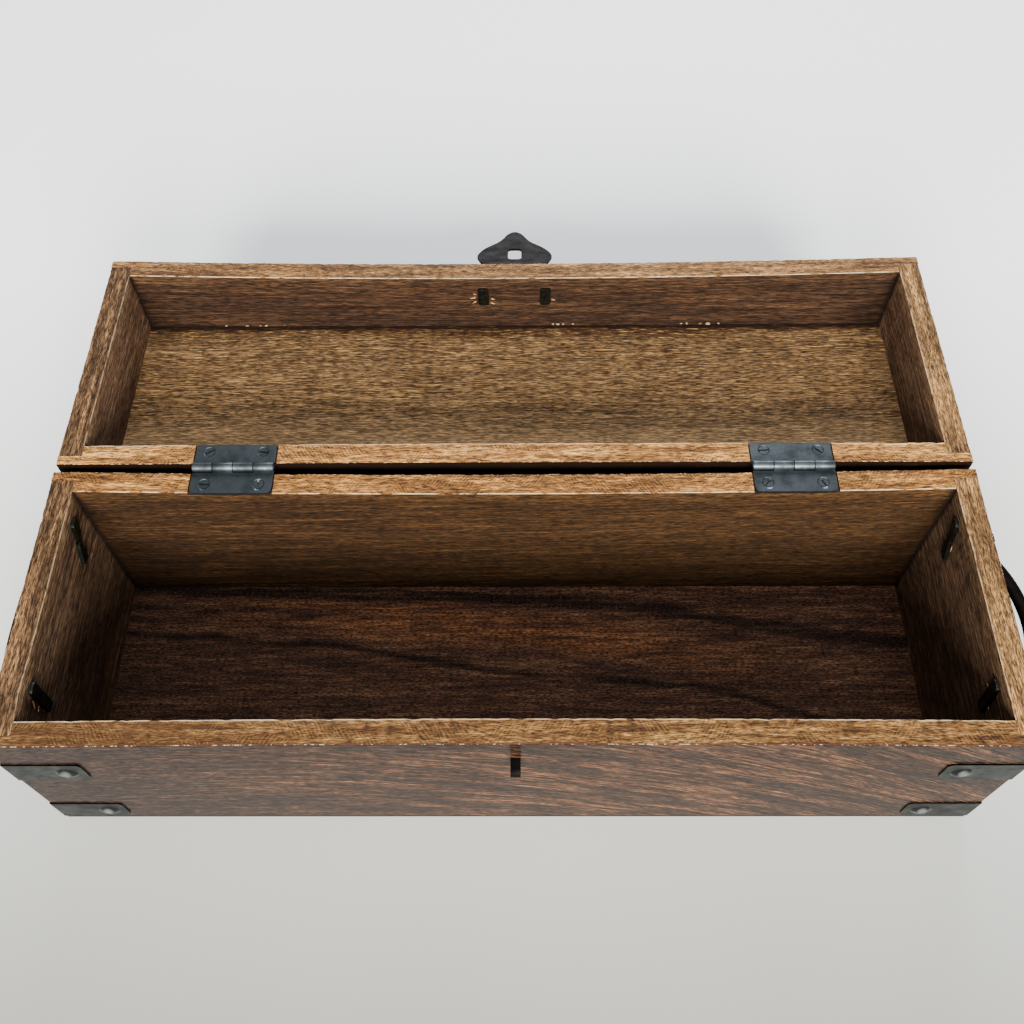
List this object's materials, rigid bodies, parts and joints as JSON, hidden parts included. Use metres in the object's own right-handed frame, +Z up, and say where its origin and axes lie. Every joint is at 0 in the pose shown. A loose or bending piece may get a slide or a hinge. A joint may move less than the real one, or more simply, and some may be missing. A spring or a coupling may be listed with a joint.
{
  "type": "donation box",
  "caption": "Long wooden donation box with iron corner straps, swinging end handles, a leaf-shaped hasp and a hinged lid laid back.",
  "frame": {"origin": "centre of the base's underside, which is the surface that it stands on", "axes": "+X along the length, to the box's right; +Y to the back, where the lid hinges; +Z up"},
  "size_m": [0.4415, 0.3272, 0.0971],
  "materials": {
    "base_wood": "satin",
    "base_panel_wood": "matte",
    "lid_wood": "satin",
    "lid_panel_wood": "matte",
    "hinge_iron": "matte",
    "strap_iron": "satin",
    "nail_iron": "satin",
    "black_iron": "satin"
  },
  "bodies": {
    "base": {"base_front_board": "base_wood", "base_back_board": "base_wood", "base_left_end": "base_wood", "base_right_end": "base_wood", "base_bottom_panel": "base_panel_wood", "left_hinge_base_leaf": "hinge_iron", "right_hinge_base_leaf": "hinge_iron", "left_hinge_pin": "hinge_iron", "right_hinge_pin": "hinge_iron", "base_leaf_screws": "hinge_iron", "front_staple": "black_iron", "left_handle_front_loop": "black_iron", "left_handle_back_loop": "black_iron", "right_handle_front_loop": "black_iron", "right_handle_back_loop": "black_iron", "front_left_upper_strap": "strap_iron", "front_left_lower_strap": "strap_iron", "front_right_upper_strap": "strap_iron", "front_right_lower_strap": "strap_iron", "back_left_upper_strap": "strap_iron", "back_left_lower_strap": "strap_iron", "back_right_upper_strap": "strap_iron", "back_right_lower_strap": "strap_iron", "front_strap_nails": "nail_iron", "back_strap_nails": "nail_iron"},
    "lid": {"lid_front_board": "lid_wood", "lid_back_board": "lid_wood", "lid_left_end": "lid_wood", "lid_right_end": "lid_wood", "lid_top_panel": "lid_panel_wood", "left_hinge_lid_leaf": "hinge_iron", "right_hinge_lid_leaf": "hinge_iron", "lid_leaf_screws": "hinge_iron", "hasp_left_loop": "black_iron", "hasp_right_loop": "black_iron"},
    "hasp": {"hasp_plate": "black_iron"},
    "left_handle": {"left_handle_bail": "black_iron"},
    "right_handle": {"right_handle_bail": "black_iron"}
  },
  "joints": [
    {"name": "lid_hinge", "type": "hinge", "parent": "base", "child": "lid", "pos_m": [0, 0.0649, 0.0949], "axis": [1, 0, 0], "range_deg": [0, 181]},
    {"name": "hasp_swing", "type": "hinge", "parent": "lid", "child": "hasp", "pos_m": [0, 0.19671, 0.0772], "axis": [1, 0, 0], "range_deg": [-66, 117]},
    {"name": "left_handle_swing", "type": "hinge", "parent": "base", "child": "left_handle", "pos_m": [-0.207, 0, 0.0786], "axis": [0, 1, 0], "range_deg": [-33, 147]},
    {"name": "right_handle_swing", "type": "hinge", "parent": "base", "child": "right_handle", "pos_m": [0.207, 0, 0.0786], "axis": [0, -1, 0], "range_deg": [-55, 125]}
  ]
}
